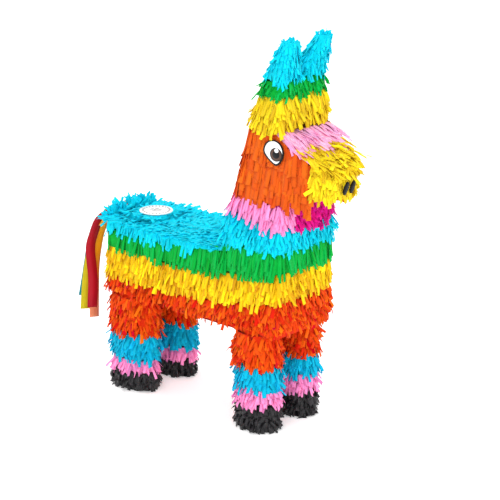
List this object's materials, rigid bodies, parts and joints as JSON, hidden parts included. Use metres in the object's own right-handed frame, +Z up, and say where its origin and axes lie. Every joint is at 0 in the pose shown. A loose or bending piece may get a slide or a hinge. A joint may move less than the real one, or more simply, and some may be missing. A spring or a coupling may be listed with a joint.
{
  "type": "pinata",
  "caption": "Donkey-shaped pinata of hollow card covered in bands of coloured crepe fringe, with a filling flap in the back and a tail of paper ribbons.",
  "frame": {"origin": "on the floor, below the middle of the overall box", "axes": "+Z up, the donkey faces -Y, its left side is +X; tail and rump lie towards +Y"},
  "size_m": [0.13, 0.4553, 0.5563],
  "materials": {
    "card": "bare brown corrugated and rolled card",
    "turquoise_crepe": "matt crepe paper cut to a fringe",
    "blue_crepe": "matt crepe paper cut to a fringe",
    "green_crepe": "matt crepe paper cut to a fringe",
    "yellow_crepe": "matt crepe paper cut to a fringe",
    "orange_crepe": "matt crepe paper cut to a fringe",
    "pink_crepe": "matt crepe paper cut to a fringe",
    "magenta_crepe": "matt crepe paper cut to a fringe",
    "black_crepe": "matt crepe paper cut to a fringe",
    "eye_card": "printed card, smooth",
    "nostril_card": "black card, matt",
    "sticker_paper": "coated white label paper, satin",
    "red_ribbon": "crepe streamer",
    "yellow_ribbon": "crepe streamer",
    "peach_ribbon": "crepe streamer",
    "teal_ribbon": "crepe streamer",
    "gold_ribbon": "crepe streamer"
  },
  "bodies": {
    "shell": {"belly_panel": "card", "rump_panel": "card", "back_panel": "card", "nape_panel": "card", "crown_cap_panel": "card", "forehead_panel": "card", "brow_panel": "card", "nose_panel": "card", "jaw_panel": "card", "chest_panel": "card", "side_panel_right": "card", "side_panel_left": "card", "ear_cone_right": "card", "ear_cone_left": "card", "leg_tube_front_right": "card", "leg_tube_front_left": "card", "leg_tube_rear_right": "card", "leg_tube_rear_left": "card", "sole_disc_front_right": "card", "sole_disc_front_left": "card", "sole_disc_rear_right": "card", "sole_disc_rear_left": "card", "saddle_fringe_turquoise": "turquoise_crepe", "body_fringe_green": "green_crepe", "body_fringe_yellow": "yellow_crepe", "body_fringe_orange": "orange_crepe", "neck_fringe_turquoise": "turquoise_crepe", "collar_fringe_pink": "pink_crepe", "throat_fringe_magenta": "magenta_crepe", "head_fringe_orange": "orange_crepe", "brow_fringe_pink": "pink_crepe", "muzzle_fringe_yellow": "yellow_crepe", "crown_fringe_yellow": "yellow_crepe", "crown_fringe_green": "green_crepe", "ear_fringe_right": "turquoise_crepe", "ear_fringe_left": "turquoise_crepe", "shin_fringe_front_right": "blue_crepe", "ankle_fringe_front_right": "pink_crepe", "shin_fringe_front_left": "blue_crepe", "ankle_fringe_front_left": "pink_crepe", "shin_fringe_rear_right": "blue_crepe", "ankle_fringe_rear_right": "pink_crepe", "shin_fringe_rear_left": "blue_crepe", "ankle_fringe_rear_left": "pink_crepe", "hoof_fringe_front_right": "black_crepe", "hoof_fringe_front_left": "black_crepe", "hoof_fringe_rear_right": "black_crepe", "hoof_fringe_rear_left": "black_crepe", "eye_right": "eye_card", "eye_left": "eye_card", "nostril_right": "nostril_card", "nostril_left": "nostril_card"},
    "flap": {"fill_flap": "card", "flap_fringe_turquoise": "turquoise_crepe", "fill_sticker": "sticker_paper"},
    "ribbon_gold": {"tail_ribbon_gold": "gold_ribbon"},
    "ribbon_red": {"tail_ribbon_red": "red_ribbon"},
    "ribbon_yellow": {"tail_ribbon_yellow": "yellow_ribbon"},
    "ribbon_peach": {"tail_ribbon_peach": "peach_ribbon"},
    "ribbon_teal": {"tail_ribbon_teal": "teal_ribbon"}
  },
  "joints": [
    {"name": "flap_crease", "type": "hinge", "parent": "shell", "child": "flap", "pos_m": [0, 0.1655, 0.2477], "axis": [-1, 0, 0], "range_deg": [0, 90]},
    {"name": "ribbon_gold_swing", "type": "hinge", "parent": "shell", "child": "ribbon_gold", "pos_m": [-0.034, 0.1829, 0.253], "axis": [1, 0, 0], "range_deg": [0, 70]},
    {"name": "ribbon_red_swing", "type": "hinge", "parent": "shell", "child": "ribbon_red", "pos_m": [-0.017, 0.1829, 0.253], "axis": [1, 0, 0], "range_deg": [0, 70]},
    {"name": "ribbon_yellow_swing", "type": "hinge", "parent": "shell", "child": "ribbon_yellow", "pos_m": [0, 0.1829, 0.253], "axis": [1, 0, 0], "range_deg": [0, 70]},
    {"name": "ribbon_peach_swing", "type": "hinge", "parent": "shell", "child": "ribbon_peach", "pos_m": [0.017, 0.1829, 0.253], "axis": [1, 0, 0], "range_deg": [0, 70]},
    {"name": "ribbon_teal_swing", "type": "hinge", "parent": "shell", "child": "ribbon_teal", "pos_m": [0.034, 0.1829, 0.253], "axis": [1, 0, 0], "range_deg": [0, 70]}
  ]
}
